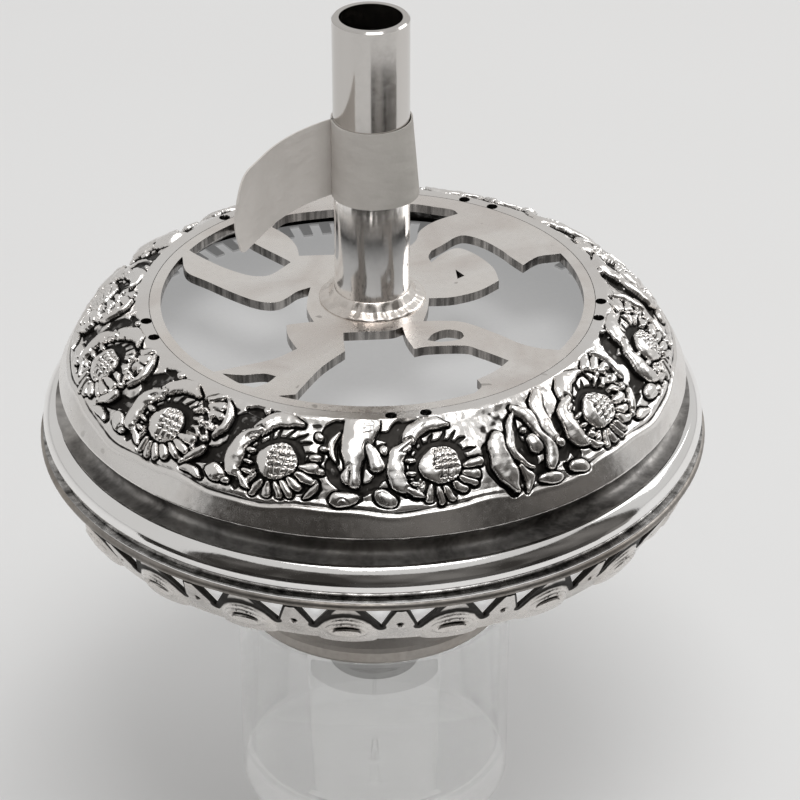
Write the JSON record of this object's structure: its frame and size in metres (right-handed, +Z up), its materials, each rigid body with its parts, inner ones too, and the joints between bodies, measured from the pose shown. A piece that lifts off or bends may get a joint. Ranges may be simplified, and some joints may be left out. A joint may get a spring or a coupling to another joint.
{
  "type": "silver finial head on a glass cup",
  "caption": "Ornate silver finial head with an openwork plate, domed shoulder, pierced gallery and central stem tube, lifting off a clear glass cup.",
  "frame": {"origin": "centre of the glass cup's base, on the surface it stands on", "axes": "+Z up along the stem, -Y towards the viewer of the picture, +X to the viewer's right"},
  "size_m": [0.1218, 0.1218, 0.1593],
  "materials": {
    "clear_glass": "clear, smooth",
    "polished_silver": "hand polished",
    "dull_silver": "unpolished tube, dark",
    "collar_silver": "dull spun sheet",
    "floor_silver": "flat sheet, satin",
    "gallery_silver": "sawn and engraved, dark in the cuts",
    "oxidised_silver": "oxidised dark grey",
    "chased_silver": "chased relief with oxidised ground",
    "plate_silver": "hand finished, faint warm stains",
    "solder_silver": "solder fillet, uneven",
    "tag_paper": "matt paper"
  },
  "bodies": {
    "cup": {"glass_cup": "clear_glass"},
    "head": {"neck_socket": "dull_silver", "seat_collar": "collar_silver", "gallery_band": "gallery_silver", "gallery_lining": "polished_silver", "girdle_wire": "polished_silver", "girdle_moulding": "polished_silver", "cove_band": "oxidised_silver", "floor_disc": "floor_silver", "claw_ring": "floor_silver", "shoulder_dome": "chased_silver", "openwork_plate": "plate_silver", "stem_collar": "solder_silver", "stem_tube": "polished_silver", "paper_tag": "tag_paper"}
  },
  "joints": [
    {"name": "head_lift", "type": "slide", "parent": "cup", "child": "head", "axis": [0, 0, 1], "range_m": [0, 0.06]}
  ]
}
